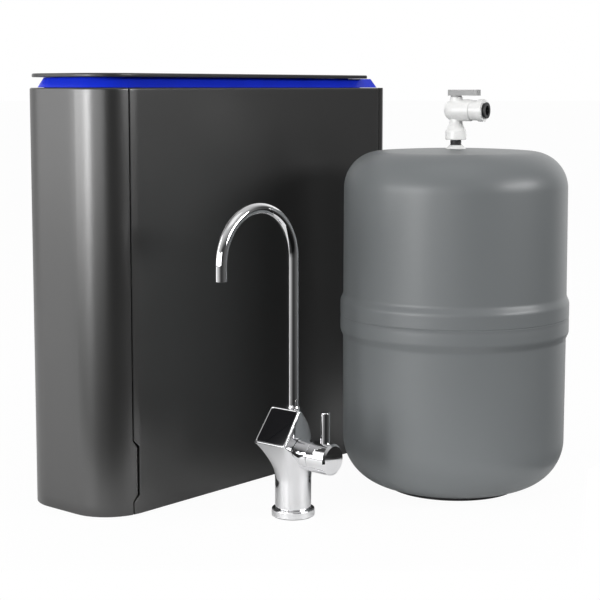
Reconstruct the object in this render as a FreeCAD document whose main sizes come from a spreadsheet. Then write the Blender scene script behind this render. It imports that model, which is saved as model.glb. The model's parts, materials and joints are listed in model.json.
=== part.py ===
"""Under-sink reverse osmosis unit: filter cabinet, pressure storage tank and dispensing faucet.

Frame: millimetres, +Z up. The origin is the centre of the cabinet's footprint on the floor.
The cabinet's rounded front faces -Y. The tank and the faucet stand on its +X side, both facing -Y.
"""

import FreeCAD, Part
import math
import os
import Sketcher
from FreeCAD import Placement, Rotation, Vector

doc = FreeCAD.newDocument("reverse_osmosis_unit")
sheet = doc.addObject("Spreadsheet::Sheet", "dims")

DIMENSIONS = {
    # cabinet
    "cabinet_width": 130.0,
    "cabinet_depth": 425.0,
    "rim_height": 407.5,
    "front_radius": 44.0,
    "rear_radius": 8.0,
    "wall": 2.5,
    "lip_width": 9.0,
    "foot_height": 1.5,
    "seam_gap": 1.0,
    "front_seam": 34.5,
    "rear_seam": 12.5,
    "tab_reach": 5.0,
    "tab_gap": 2.6,
    "tab_low": 14.0,
    "tab_high": 73.5,
    "tab_slope": 7.0,
    # lid and blue collar
    "lid_inset": 2.2,
    "lid_low": 417.6,
    "lid_thick": 3.6,
    "lid_rear": 184.5,
    "collar_low": 407.8,
    "collar_high": 417.3,
    "collar_foot_inset": 7.5,
    "collar_top_inset": 13.5,
    "collar_hole_inset": 17.0,
    "collar_skirt_inset": 13.6,
    "collar_rear": 208.5,
    "hinge_line": 188.0,
    "hinge_height": 414.6,
    "knuckle_radius": 2.7,
    "hinge_pin_radius": 1.2,
    # inside the cabinet
    "inner_inset": 2.9,
    "tray_floor": 2.5,
    "tray_height": 24.0,
    "deck_low": 372.0,
    "deck_thick": 4.0,
    "manifold_low": 10.0,
    "manifold_high": 50.0,
    "manifold_half": 48.0,
    "manifold_front": 166.0,
    "manifold_back": 172.0,
    "cartridge_first": -126.0,
    "cartridge_pitch": 85.0,
    "cartridge_radius": 38.0,
    "cartridge_wall": 2.4,
    "cartridge_low": 58.0,
    "neck_radius": 17.0,
    "neck_low": 26.0,
    "bulkhead_front": 176.5,
    "bulkhead_thick": 2.5,
    "port_height": 62.0,
    "port_spacing": 24.0,
    "rear_tube_radius": 4.0,
    "port_radius": 9.2,
    "quarter_inch": 3.3,
    "three_eighths": 4.85,
    "collet_travel": 1.5,
    # tank
    "tank_at_x": 225.4,
    "tank_at_y": 119.4,
    "tank_radius": 113.2,
    "tank_wall": 3.2,
    "tank_band_radius": 116.0,
    "tank_band_low": 162.5,
    "tank_weld": 178.0,
    "tank_band_high": 196.0,
    "tank_shoulder": 37.0,
    "tank_shoulder_top": 344.0,
    "tank_crown": 346.4,
    "tank_corner": 48.0,
    "tank_foot_radius": 66.0,
    # valve on the tank
    "valve_turn": 11.3,
    "valve_axis_height": 385.0,
    "valve_ball_radius": 7.0,
    "valve_barrel_radius": 10.9,
    "valve_socket_end": 30.6,
    # faucet
    "faucet_at_x": 175.4,
    "faucet_at_y": -74.0,
    "faucet_radius": 17.3,
    "faucet_ring_radius": 20.6,
    "faucet_ring_low": 0.8,
    "faucet_ring_high": 7.8,
    "faucet_lever_height": 61.5,
    "faucet_boss_radius": 14.4,
    "faucet_boss_end": 27.0,
    "faucet_knob_radius": 14.9,
    "faucet_knob_end": 50.0,
    "faucet_pin_at": 39.5,
    "faucet_pin_radius": 4.4,
    "faucet_pin_top": 105.5,
    "spout_radius": 5.25,
    "spout_wall": 1.0,
    "spout_reach": 98.0,
    "spout_top": 297.75,
    "spout_tip": 235.0,
    "spout_seat": 80.0,
}


class Size:
    """A length with the sheet expression that gives it."""

    def __init__(self, value, text):
        self.value = float(value)
        self.text = text

    def joined(self, sign, other, value):
        return Size(value, f"({self.text} {sign} {words(other)})")

    def __add__(self, other):
        return self.joined("+", other, self.value + number(other))

    def __sub__(self, other):
        return self.joined("-", other, self.value - number(other))

    def __mul__(self, other):
        return self.joined("*", other, self.value * number(other))

    def __truediv__(self, other):
        return self.joined("/", other, self.value / number(other))

    def __radd__(self, other):
        return Size(number(other) + self.value, f"({words(other)} + {self.text})")

    def __rsub__(self, other):
        return Size(number(other) - self.value, f"({words(other)} - {self.text})")

    def __rmul__(self, other):
        return Size(number(other) * self.value, f"({words(other)} * {self.text})")

    def __neg__(self):
        return Size(-self.value, f"(0 - {self.text})")


def number(size):
    return size.value if isinstance(size, Size) else float(size)


def words(size):
    return size.text if isinstance(size, Size) else f"({float(size)!r})"


class Sizes:
    """The sheet's driving dimensions, one attribute for each alias."""

    def __init__(self, dimensions):
        for row, (alias, value) in enumerate(dimensions.items(), start=1):
            sheet.set(f"A{row}", alias.replace("_", " "))
            sheet.set(f"B{row}", str(value))
            sheet.setAlias(f"B{row}", alias)
            setattr(self, alias, Size(value, f"dims.{alias}"))


d = Sizes(DIMENSIONS)
doc.recompute()

ORIGIN = (0.0, 0.0, 0.0)
TURNS = {
    "Z": Rotation(),
    "X": Rotation(Vector(0, 1, 0), 90),
    "Y": Rotation(Vector(1, 0, 0), -90),
}
STEP = 0.6


# ---------------------------------------------------------------- building blocks


def bind(thing, **sizes):
    """Sets properties, and binds each one that comes from the sheet."""
    for name, size in sizes.items():
        setattr(thing, name, number(size))
        if isinstance(size, Size):
            thing.setExpression(name, size.text)
    return thing


def place(thing, at=ORIGIN, turn=None):
    """Puts an object at a point whose coordinates may come from the sheet."""
    thing.Placement = Placement(Vector(*[number(c) for c in at]), turn or Rotation())
    for letter, coordinate in zip("xyz", at):
        if isinstance(coordinate, Size):
            thing.setExpression(f"Placement.Base.{letter}", coordinate.text)
    return thing


def new(kind, name):
    return doc.addObject(kind, name)


def box(name, low, high):
    """A box from its low corner to its high corner."""
    length, width, height = (high[i] - low[i] for i in range(3))
    made = bind(new("Part::Box", name), Length=length, Width=width, Height=height)
    return place(made, low)


def cylinder(name, radius, height, at=ORIGIN, along="Z"):
    made = bind(new("Part::Cylinder", name), Radius=radius, Height=height)
    return place(made, at, TURNS[along])


def cone(name, low_radius, high_radius, height, at=ORIGIN, along="Z"):
    made = bind(new("Part::Cone", name), Radius1=low_radius, Radius2=high_radius, Height=height)
    return place(made, at, TURNS[along])


def sphere(name, radius, at=ORIGIN):
    return place(bind(new("Part::Sphere", name), Radius=radius), at)


def torus(name, ring_radius, section_radius, at=ORIGIN, along="Z"):
    made = bind(new("Part::Torus", name), Radius1=ring_radius, Radius2=section_radius)
    return place(made, at, TURNS[along])


def fuse(name, *things):
    made = new("Part::MultiFuse", name)
    made.Shapes = list(things)
    return made


def cut(name, base, *tools):
    made = new("Part::Cut", name)
    made.Base = base
    made.Tool = tools[0] if len(tools) == 1 else fuse(f"{name}_tools", *tools)
    return made


def common(name, *things):
    made = new("Part::MultiCommon", name)
    made.Shapes = list(things)
    return made


def group(name, *things):
    """Separate solids that share one node."""
    made = new("Part::Compound", name)
    made.Links = list(things)
    return made


def fillet(name, base, radius, chosen):
    """Rounds the edges of base that chosen(edge) picks."""
    doc.recompute()
    made = new("Part::Fillet", name)
    made.Base = base
    r = number(radius)
    made.Edges = [(i, r, r) for i, edge in enumerate(base.Shape.Edges, start=1) if chosen(edge)]
    return made


def shape(name, solid, at=ORIGIN):
    """A sub-part whose shape Part's own functions make."""
    made = new("Part::Feature", name)
    made.Shape = solid
    return place(made, at)


def sketch_on(body, plane, offset=0.0, name="outline"):
    sketch = body.newObject("Sketcher::SketchObject", f"{body.Name}_{name}")
    support = next(f for f in body.Origin.OriginFeatures if f.Role == plane)
    sketch.AttachmentSupport = (support, [""])
    sketch.MapMode = "FlatFace"
    sketch.AttachmentOffset = Placement(Vector(0, 0, number(offset)), Rotation())
    if isinstance(offset, Size):
        sketch.setExpression("AttachmentOffset.Base.z", offset.text)
    return sketch


def hold(sketch, kind, *where, size):
    """Adds a dimension to a sketch and binds it to the sheet."""
    index = sketch.addConstraint(Sketcher.Constraint(kind, *where, number(size)))
    if isinstance(size, Size):
        sketch.setExpression(f"Constraints[{index}]", size.text)


def rounded(sketch, half_width, front, back, front_radius, back_radius):
    """A rectangle with one radius on its front corners and another on its back corners."""
    w, f, b, rf, rb = (number(s) for s in (half_width, front, back, front_radius, back_radius))
    flat = Vector(0, 0, 1)
    right = [(w - rf, f + rf, rf, -90), (w - rb, b - rb, rb, 0)]
    corners = right + [(rb - w, b - rb, rb, 90), (rf - w, f + rf, rf, 180)]
    arcs = [
        Part.ArcOfCircle(Part.Circle(Vector(x, y, 0), flat, r), math.radians(a), math.radians(a + 90))
        for x, y, r, a in corners
    ]
    ends = [arcs[-1]] + arcs[:-1]
    for before, arc in zip(ends, arcs):
        sketch.addGeometry(Part.LineSegment(before.EndPoint, arc.StartPoint))
        sketch.addGeometry(arc)
    for i in range(8):
        sketch.addConstraint(Sketcher.Constraint("Tangent", i, 2, (i + 1) % 8, 1))
    for line in (0, 4):
        sketch.addConstraint(Sketcher.Constraint("Horizontal", line))
    for line in (2, 6):
        sketch.addConstraint(Sketcher.Constraint("Vertical", line))
    hold(sketch, "DistanceY", -1, 1, 0, 1, size=front)
    hold(sketch, "DistanceX", -1, 1, 2, 1, size=half_width)
    hold(sketch, "DistanceY", -1, 1, 4, 1, size=back)
    hold(sketch, "DistanceX", -1, 1, 6, 1, size=-half_width)
    for arc, radius in ((1, front_radius), (3, back_radius), (5, back_radius), (7, front_radius)):
        hold(sketch, "Radius", arc, size=radius)


def rod(name, radius, start, end):
    """A cylinder from one point to another."""
    start, end = Vector(*start), Vector(*end)
    made = bind(new("Part::Cylinder", name), Radius=radius, Height=(end - start).Length)
    return place(made, tuple(start), Rotation(Vector(0, 0, 1), end - start))


def arc_between(start, end, radius):
    """The shorter arc from start to end, as a sketch takes it: counter-clockwise about +Z.

    A positive radius bends to the right of the chord, so that the arc runs forward. A negative one bends to
    the left, and the arc runs from end to start.
    """
    chord = end - start
    left = Vector(-chord.y, chord.x, 0).normalize()
    reach = math.sqrt(radius**2 - (chord.Length / 2) ** 2)
    centre = (start + end) / 2 + left * (reach if radius > 0 else -reach)
    first, last = (start, end) if radius > 0 else (end, start)
    angles = [math.atan2(p.y - centre.y, p.x - centre.x) for p in (first, last)]
    if angles[1] < angles[0]:
        angles[1] += 2 * math.pi
    return Part.ArcOfCircle(Part.Circle(centre, Vector(0, 0, 1), abs(radius)), *angles)


def polygon(sketch, points, arcs=None):
    """A closed outline. arcs maps an edge's number to its signed radius, as arc_between takes it."""
    arcs = arcs or {}
    spots = [Vector(number(x), number(y), 0) for x, y in points]
    count = len(points)
    for i, start in enumerate(spots):
        end = spots[(i + 1) % count]
        made = arc_between(start, end, number(arcs[i])) if i in arcs else Part.LineSegment(start, end)
        sketch.addGeometry(made)
    backward = [i in arcs and number(arcs[i]) < 0 for i in range(count)]
    starts = [(i, 2 if backward[i] else 1) for i in range(count)]
    ends = [(i, 1 if backward[i] else 2) for i in range(count)]
    for i in range(count):
        sketch.addConstraint(Sketcher.Constraint("Coincident", *ends[i], *starts[(i + 1) % count]))
    for i, (x, y) in enumerate(points):
        for kind, axis, size in (("DistanceX", -2, x), ("DistanceY", -1, y)):
            if number(size) == 0:
                sketch.addConstraint(Sketcher.Constraint("PointOnObject", *starts[i], axis))
            else:
                hold(sketch, kind, -1, 1, *starts[i], size=size)
    for i, radius in arcs.items():
        hold(sketch, "Radius", i, size=radius if number(radius) > 0 else -radius)


def pad(name, draw, height, offset=0.0, plane="XY_Plane", at=ORIGIN):
    """A body padded from one sketch. draw(sketch) draws its outline."""
    body = new("PartDesign::Body", name)
    sketch = sketch_on(body, plane, offset)
    draw(sketch)
    made = body.newObject("PartDesign::Pad", f"{name}_pad")
    made.Profile = sketch
    bind(made, Length=height)
    return place(body, at)


def turned(name, points, arcs=None, at=ORIGIN, turn=None):
    """A body turned about its own Z axis. points are (radius, height)."""
    body = new("PartDesign::Body", name)
    sketch = sketch_on(body, "XZ_Plane", name="profile")
    polygon(sketch, points, arcs)
    made = body.newObject("PartDesign::Revolution", f"{name}_turn")
    made.Profile = sketch
    made.ReferenceAxis = (sketch, ["V_Axis"])
    made.Angle = 360
    return place(body, at, turn)


def tube_along(points, radius, bend, bore=None):
    """A round tube along straight runs joined by tangent arcs, with a bore if one is given."""
    spots = [Vector(*p) for p in points]
    edges, at = [], spots[0]
    for before, corner, after in zip(spots, spots[1:], spots[2:]):
        inward, outward = (corner - before).normalize(), (after - corner).normalize()
        turn = inward.getAngle(outward)
        reach = bend * math.tan(turn / 2)
        start, end = corner - inward * reach, corner + outward * reach
        middle = corner + (outward - inward).normalize() * (bend / math.cos(turn / 2) - bend)
        if (start - at).Length > 1e-6:
            edges.append(Part.makeLine(at, start))
        edges.append(Part.Arc(start, middle, end).toShape())
        at = end
    edges.append(Part.makeLine(at, spots[-1]))
    path = Part.Wire(edges)
    along = (spots[1] - spots[0]).normalize()

    def swept(r):
        section = Part.Wire(Part.makeCircle(r, spots[0], along))
        return path.makePipeShell([section], True, False)

    outer = swept(radius)
    if bore is None:
        return outer
    return outer.cut(swept(bore))


# ---------------------------------------------------------------- cabinet shells

half_width = d.cabinet_width / 2
half_depth = d.cabinet_depth / 2
front_seam = d.front_seam - half_depth
rear_seam = half_depth - d.rear_seam
FAR = 80.0


def plan(inset, rear=None, rear_inset=None, rear_corner=None):
    """Draws the cabinet's outline, set in by inset, with its rear edge moved if rear is given."""
    back = rear if rear is not None else half_depth - (inset if rear_inset is None else rear_inset)
    corner = rear_corner if rear_corner is not None else d.rear_radius - inset

    def draw(sketch):
        rounded(sketch, half_width - inset, inset - half_depth, back, d.front_radius - inset, corner)

    return draw


def cabinet_wall():
    """The whole outer wall with its top lip, before it is divided into panels."""
    outside = pad("outside_form", plan(0.0), d.rim_height - d.foot_height, d.foot_height)
    inside = pad("inside_form", plan(d.wall), d.rim_height - d.wall)
    mouth = pad("mouth_form", plan(d.lip_width, rear_corner=2.0), d.wall * 4, d.rim_height - d.wall * 2)
    return cut("outer_wall", outside, inside, mouth)


def tab_outline(reach, spread):
    """The finger tab's outline in the cabinet's side view, grown by spread."""

    def draw(sketch):
        root = front_seam - 12.0
        edge = front_seam + reach
        polygon(
            sketch,
            [
                (root, d.tab_low - spread),
                (front_seam, d.tab_low - spread),
                (edge, d.tab_low + d.tab_slope - spread),
                (edge, d.tab_high - d.tab_slope + spread),
                (front_seam, d.tab_high + spread),
                (root, d.tab_high + spread),
            ],
        )

    return draw


def shells():
    wall = cabinet_wall()
    tab = pad("tab_form", tab_outline(d.tab_reach, 0.0), 2 * FAR, -FAR, "YZ_Plane")
    recess = pad("recess_form", tab_outline(d.tab_reach + d.tab_gap, d.seam_gap), 2 * FAR, -FAR, "YZ_Plane")
    front_space = box("front_space", (-FAR, -3 * FAR, 0.0), (FAR, front_seam, d.rim_height + 1.0))
    common("front_cover", wall, fuse("front_and_tab", front_space, tab))
    panels_from, panels_to = front_seam + d.seam_gap, rear_seam - d.seam_gap / 2
    for side, low, high in (("left", -FAR, 0.0), ("right", 0.0, FAR)):
        space = box(f"{side}_space", (low, panels_from, 0.0), (high, panels_to, d.rim_height + 1.0))
        half = common(f"{side}_half", wall, space)
        cut(f"side_panel_{side}", half, recess)
    behind = rear_seam + d.seam_gap / 2
    rear_space = box("rear_space", (-FAR, behind, 0.0), (FAR, 3 * FAR, d.rim_height + 1.0))
    rear = common("rear_half", wall, rear_space)
    holes = [
        cylinder(f"port_hole_{i}", 7.2, 20.0, (x, half_depth - 10.0, d.port_height), "Y")
        for i, x in enumerate(port_places())
    ]
    cut("rear_panel", rear, *holes)


def port_places():
    return [d.port_spacing * (i - 1.5) for i in range(4)]


def base_parts():
    outline = plan(d.inner_inset, rear_corner=5.0)
    tray = pad("tray_form", outline, d.tray_height - d.foot_height, d.foot_height)
    inside = plan(d.inner_inset + d.wall, rear_corner=2.6)
    well = pad("tray_well", inside, d.tray_height, d.foot_height + d.tray_floor)
    seats = [(x, y) for x in (-30.0, 30.0) for y in (-130.0, 0.0, 135.0)]
    pillars = [
        cylinder(f"pillar_{i}", 6.0, d.manifold_low - d.foot_height - 1.0, (x, y, d.foot_height + 1.0))
        for i, (x, y) in enumerate(seats)
    ]
    spots = [(0.0, 0.0)] + [(x, y) for x in (-42.0, 42.0) for y in (-158.0, 172.0)]
    sockets = [cylinder(f"foot_socket_{i}", 4.1, 9.0, (x, y, 0.0)) for i, (x, y) in enumerate(spots)]
    dish = cut("tray_dish", tray, well)
    cut("base_tray", fuse("tray_with_pillars", dish, *pillars), *sockets)
    feet = []
    for i, (x, y) in enumerate(spots):
        pad_disc = cone(f"foot_disc_{i}", 8.4, 9.4, d.foot_height, (x, y, 0.0))
        peg = cylinder(f"foot_peg_{i}", 3.9, d.tray_floor + 3.0, (x, y, d.foot_height - 0.5))
        feet.append(fuse(f"foot_{i}", pad_disc, peg))
    group("rubber_feet", *feet)


def collar_and_lid():
    body = new("PartDesign::Body", "collar_slope")
    foot = sketch_on(body, "XY_Plane", d.collar_low, "foot")
    plan(d.collar_foot_inset, rear=d.collar_rear, rear_corner=5.0)(foot)
    top = sketch_on(body, "XY_Plane", d.collar_high, "top")
    plan(d.collar_top_inset, rear=d.collar_rear - 4.0, rear_corner=4.0)(top)
    loft = body.newObject("PartDesign::AdditiveLoft", "collar_loft")
    loft.Profile = foot
    loft.Sections = [top]
    loft.Ruled = True
    skirt_low = d.deck_low + d.deck_thick
    skirt_plan = plan(d.collar_skirt_inset, rear=186.0, rear_corner=5.0)
    skirt = pad("collar_skirt", skirt_plan, d.collar_high - skirt_low - 2.0, skirt_low)
    hole = pad("collar_hole", plan(d.collar_hole_inset, rear=178.0, rear_corner=3.0), 60.0, skirt_low - 1.0)
    step_low, step_high = d.hinge_height - 3.2, d.hinge_height + 9.0
    step = box("collar_step", (-47.0, d.lid_rear - 10.0, step_low), (47.0, 220.0, step_high))
    ring = cut("collar_ring", fuse("collar_solid", body, skirt), hole, step)
    knuckles, bores, lugs, lid_bores, pins = [], [], [], [], []
    for side in (-1, 1):
        outer_low = (-46.0 if side < 0 else 34.0, d.hinge_line, d.hinge_height)
        inner_low = (-33.6 if side < 0 else 19.6, d.hinge_line, d.hinge_height)
        knuckles.append(cylinder(f"collar_knuckle_{side + 2}", d.knuckle_radius, 12.0, outer_low, "X"))
        under = d.hinge_height - 3.6
        knuckles.append(
            box(
                f"knuckle_post_{side + 2}",
                (outer_low[0], d.hinge_line - d.knuckle_radius, under),
                (outer_low[0] + 12.0, d.hinge_line + d.knuckle_radius, d.hinge_height),
            )
        )
        bore_at = (outer_low[0] - 0.5, *outer_low[1:])
        bores.append(cylinder(f"knuckle_bore_{side + 2}", d.hinge_pin_radius, 13.0, bore_at, "X"))
        lugs.append(cylinder(f"lid_knuckle_{side + 2}", d.knuckle_radius, 14.0, inner_low, "X"))
        lugs.append(
            box(
                f"lid_arm_{side + 2}",
                (inner_low[0], d.lid_rear - 9.0, d.hinge_height - 0.4),
                (inner_low[0] + 14.0, d.hinge_line, d.hinge_height + 2.3),
            )
        )
        lugs.append(
            box(
                f"lid_root_{side + 2}",
                (inner_low[0], d.lid_rear - 9.0, d.hinge_height - 0.4),
                (inner_low[0] + 14.0, d.lid_rear - 1.0, d.lid_low + 0.5),
            )
        )
        lid_bores.append(
            cylinder(
                f"lid_bore_{side + 2}",
                d.hinge_pin_radius + 0.06,
                15.0,
                (inner_low[0] - 0.5, *inner_low[1:]),
                "X",
            )
        )
        pin_low = (-45.5 if side < 0 else 20.0, d.hinge_line, d.hinge_height)
        pins.append(cylinder(f"pin_{side + 2}", d.hinge_pin_radius, 25.5, pin_low, "X"))
    cut("top_collar", fuse("collar_with_knuckles", ring, *knuckles), *bores)
    group("hinge_pins", *pins)
    plate = pad("lid_form", plan(d.lid_inset, rear=d.lid_rear, rear_corner=5.0), d.lid_thick, d.lid_low)
    top_of_lid = number(d.lid_low + d.lid_thick)
    soft = fillet("lid_plate", plate, 1.4, lambda e: min(v.Z for v in e.Vertexes) > top_of_lid - 0.1)
    cut("lid", fuse("lid_with_lugs", soft, *lugs), *lid_bores)


def inner_frame():
    skin = d.inner_inset
    deck_from = d.bulkhead_thick - d.bulkhead_front
    floor = pad("deck_form", plan(skin, rear_corner=5.0), d.deck_thick, d.deck_low)
    trim = box("deck_trim", (-FAR, -3 * FAR, 300.0), (FAR, deck_from, 400.0))
    holes = [
        cylinder(f"deck_hole_{i}", d.cartridge_radius + 1.2, 10.0, (0.0, y, d.deck_low - 2.0))
        for i, y in enumerate(cartridge_places())
    ]
    cut("deck_plate", floor, trim, *holes)
    low = d.foot_height + d.tray_floor
    half = half_width - d.inner_inset - d.wall - 1.1
    plate_high = (half, deck_from, d.deck_low + d.deck_thick)
    plate = box("bulkhead_plate", (-half, -d.bulkhead_front, low), plate_high)
    lower_trim = [
        cylinder(f"bulkhead_hole_{i}", 4.4, 10.0, (x, -d.bulkhead_front - 4.0, FRONT_PORT_Z), "Y")
        for i, x in enumerate(FRONT_PORTS)
    ]
    cut("front_bulkhead", plate, *lower_trim)


# ---------------------------------------------------------------- water path inside the cabinet

FRONT_PORTS = (-36.0, -20.0, 20.0, 36.0)
FRONT_PORT_Z = 34.0
DEVICE_Z = 96.0
FRONT_LINE = -190.0


def cartridge_places():
    return [d.cartridge_first + d.cartridge_pitch * i for i in range(4)]


def manifold():
    block = box(
        "manifold_block",
        (-d.manifold_half, -d.manifold_front, d.manifold_low),
        (d.manifold_half, d.manifold_back, d.manifold_high),
    )
    soft = fillet("manifold_body", block, 6.0, lambda e: abs(e.Vertexes[0].Z - e.Vertexes[-1].Z) > 20)
    tools, collars = [], []
    for i, y in enumerate(cartridge_places()):
        rim_at = (0.0, y, d.manifold_high - 0.5)
        collars.append(cylinder(f"socket_rim_{i}", d.neck_radius + 5.0, 4.0, rim_at))
        depth = d.manifold_high - d.neck_low + 5.0
        tools.append(cylinder(f"socket_{i}", d.neck_radius + 0.07, depth, (0.0, y, d.neck_low - 1.0)))
    for i, x in enumerate(FRONT_PORTS):
        tools.append(cylinder(f"front_port_{i}", 3.3, 18.0, (x, -d.manifold_front - 1.0, FRONT_PORT_Z), "Y"))
        rear_at = (port_places()[i], d.manifold_back - 12.0, REAR_PORT_Z)
        tools.append(cylinder(f"rear_port_{i}", d.rear_tube_radius + 0.1, 14.0, rear_at, "Y"))
    spots = [number(y) for y in cartridge_places()]
    galleries = []
    for i, y in enumerate(spots):
        galleries.append(cylinder(f"inlet_drop_{i}", 3.0, 8.0, (9.0, y, 18.0)))
        galleries.append(cylinder(f"outlet_drop_{i}", 3.0, 8.0, (0.0, y, 18.0)))
    for i, (y, onward) in enumerate(zip(spots, spots[1:])):
        galleries.append(rod(f"gallery_{i}", 2.0, (0.0, y, 19.0), (9.0, onward, 19.0)))
    cut("manifold", fuse("manifold_solid", soft, *collars), *tools, *galleries)


CARTRIDGES = ("sediment", "carbon", "membrane", "polishing")


def cartridge(kind, y, element):
    """One top-loading cartridge: a closed shell with its grip, and the element sealed in it."""
    at = (0.0, y, 0.0)
    r, t = d.cartridge_radius, d.cartridge_wall
    flange_low = d.deck_low + d.deck_thick + 0.5
    flange_high = flange_low + 4.0
    outline = [
        (0.0, d.neck_low),
        (d.neck_radius, d.neck_low),
        (d.neck_radius, d.cartridge_low),
        (r - 8.0, d.cartridge_low),
        (r, d.cartridge_low + 8.0),
        (r, flange_low),
        (r + 4.0, flange_low),
        (r + 4.0, flange_high),
        (r - 4.0, flange_high + 3.0),
        (0.0, flange_high + 3.0),
    ]
    shell = turned(f"{kind}_form", outline, {3: 8.0})
    cavity = turned(
        f"{kind}_cavity",
        [
            (0.0, d.cartridge_low + t),
            (r - 8.0, d.cartridge_low + t),
            (r - t, d.cartridge_low + 8.0),
            (r - t, flange_high - 4.0),
            (0.0, flange_high - 4.0),
        ],
    )
    inlet = cylinder(f"{kind}_inlet", 3.0, 40.0, (9.0, 0.0, d.neck_low - 1.0))
    outlet = cylinder(f"{kind}_outlet", 3.0, 40.0, (0.0, 0.0, d.neck_low - 1.0))
    grooves = [
        cut(
            f"{kind}_groove_{i}",
            cylinder(f"{kind}_band_{i}", 30.0, 2.6, (0.0, 0.0, z)),
            cylinder(f"{kind}_root_{i}", d.neck_radius - 1.8, 3.0, (0.0, 0.0, z)),
        )
        for i, z in enumerate((30.0, 36.5))
    ]
    grip_top = flange_high + 20.0
    grip = box(f"{kind}_grip_form", (-r + 8.0, -5.0, flange_high + 2.0), (r - 8.0, 5.0, grip_top))
    grip_soft = fillet(f"{kind}_grip", grip, 4.5, lambda e: abs(e.Vertexes[0].Z - e.Vertexes[-1].Z) > 5)
    body = cut(f"{kind}_hollow", fuse(f"{kind}_solid", shell, grip_soft), cavity, inlet, outlet, *grooves)
    place(body, at)
    body.Label = f"{kind}_cartridge"
    rings = [
        torus(f"{kind}_ring_{i}", d.neck_radius - 0.9, 0.9, (0.0, 0.0, z + 1.3))
        for i, z in enumerate((30.0, 36.5))
    ]
    seals = group(f"{kind}_seals", *rings)
    place(seals, at)
    place(element, at)


def elements():
    """The four filter media, each standing on the floor of its shell."""
    low = d.cartridge_low + d.cartridge_wall
    high = d.deck_low - 4.0
    r = d.cartridge_radius - d.cartridge_wall
    core = 6.0
    made = {}
    for kind, radius in (("carbon", r - 3.0), ("polishing", r - 1.2)):
        outline = [(core, low), (26.0, low), (radius, low + 10.0), (radius, high), (core, high)]
        made[kind] = turned(f"{kind}_element", outline)
    pleats = 24
    outer, inner = number(r) - 3.0, number(r) - 12.0
    corners = []
    for i in range(2 * pleats):
        reach = outer if i % 2 == 0 else inner
        angle = math.pi * i / pleats
        corners.append(Vector(reach * math.cos(angle), reach * math.sin(angle), number(low) + 10.0))
    star = Part.Face(Part.makePolygon(corners + corners[:1]))
    height = number(high - low) - 10.0
    pleated = star.extrude(Vector(0, 0, height))
    base = Part.makeCone(26.0, outer, 10.0, Vector(0, 0, number(low)))
    bore = Part.makeCylinder(core, height + 20, Vector(0, 0, number(low) - 1.0))
    made["sediment"] = shape("sediment_element", pleated.fuse(base).cut(bore).removeSplitter())
    outline = [(4.0, low), (26.0, low), (r - 3.6, low + 8.0), (r - 3.6, high - 8.0), (4.0, high - 8.0)]
    roll = turned("membrane_roll", outline)
    bands = [
        torus(f"brine_seal_{i}", r - 3.6, 1.8, (0.0, 0.0, z))
        for i, z in enumerate((low + 24.0, high - 20.0))
    ]
    made["membrane"] = fuse("membrane_element", roll, *bands)
    return made


def devices():
    """Shut-off valve, flow sensor and controller, which stand in front of the bulkhead."""
    back = -d.bulkhead_front
    valve_at = (-28.0, back, DEVICE_Z + 34.0)
    disc = cylinder("shutoff_disc", 17.0, 10.0, (valve_at[0], back - 24.0, valve_at[2]), "Y")
    dome = cylinder("shutoff_dome", 13.0, 24.0, (valve_at[0], back - 24.0, valve_at[2]), "Y")
    stems = [
        cylinder(f"shutoff_stem_{i}", 5.6, 26.0, (x, FRONT_LINE, DEVICE_Z))
        for i, x in enumerate(FRONT_PORTS[:2])
    ]
    bores = [
        cylinder(f"shutoff_bore_{i}", 3.3, 14.0, (x, FRONT_LINE, DEVICE_Z - 1.0))
        for i, x in enumerate(FRONT_PORTS[:2])
    ]
    cut("shutoff_valve", fuse("shutoff_solid", disc, dome, *stems), *bores)
    sensor = box("sensor_block", (12.0, back - 22.0, DEVICE_Z + 14.0), (44.0, back, DEVICE_Z + 44.0))
    nose = cylinder("sensor_nose", 8.0, 12.0, (28.0, back - 11.0, DEVICE_Z + 44.0))
    legs = [
        cylinder(f"sensor_leg_{i}", 5.6, 16.0, (x, FRONT_LINE, DEVICE_Z))
        for i, x in enumerate(FRONT_PORTS[2:])
    ]
    ways = [
        cylinder(f"sensor_way_{i}", 3.3, 14.0, (x, FRONT_LINE, DEVICE_Z - 1.0))
        for i, x in enumerate(FRONT_PORTS[2:])
    ]
    cut("flow_sensor", fuse("sensor_solid", sensor, nose, *legs), *ways)
    loops = []
    for i, x in enumerate(FRONT_PORTS):
        inside = -number(d.manifold_front) + 14.0
        route = [(x, inside, FRONT_PORT_Z), (x, FRONT_LINE, FRONT_PORT_Z), (x, FRONT_LINE, DEVICE_Z + 12.0)]
        loops.append(shape(f"loop_{i}", tube_along(route, 3.175, 14.0, 2.1)))
    group("front_loop_tubes", *loops)
    case_low, case_high = 190.0, 320.0
    outer = box("case_form", (-36.0, back - 22.0, case_low), (36.0, back, case_high))
    hollow = box("case_hollow", (-33.8, back - 23.0, case_low + 2.2), (33.8, back - 2.2, case_high - 2.2))
    cut("controller_case", outer, hollow)
    face = box("cover_plate", (-36.0, back - 24.2, case_low), (36.0, back - 22.0, case_high))
    plug = box("cover_rim", (-33.4, back - 22.0, case_low + 2.6), (33.4, back - 19.0, case_high - 2.6))
    void = box("cover_void", (-31.4, back - 21.9, case_low + 4.6), (31.4, back - 18.0, case_high - 4.6))
    cut("controller_cover", fuse("cover_solid", face, plug), void)
    board = box("board_plate", (-32.0, back - 9.0, case_low + 4.0), (32.0, back - 7.4, case_high - 4.0))
    chip_places = [(-20.0, 220.0, 14.0), (8.0, 214.0, 12.0), (-6.0, 262.0, 20.0)]
    chips = [
        box(f"chip_{i}", (x, back - 11.0, z), (x + side, back - 9.0, z + side))
        for i, (x, z, side) in enumerate(chip_places)
    ]
    fuse("controller_board", board, *chips)


# ---------------------------------------------------------------- rear ports

REAR_PORT_Z = 26.0
PORTS = ("feed", "drain", "tank", "faucet")


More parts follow.
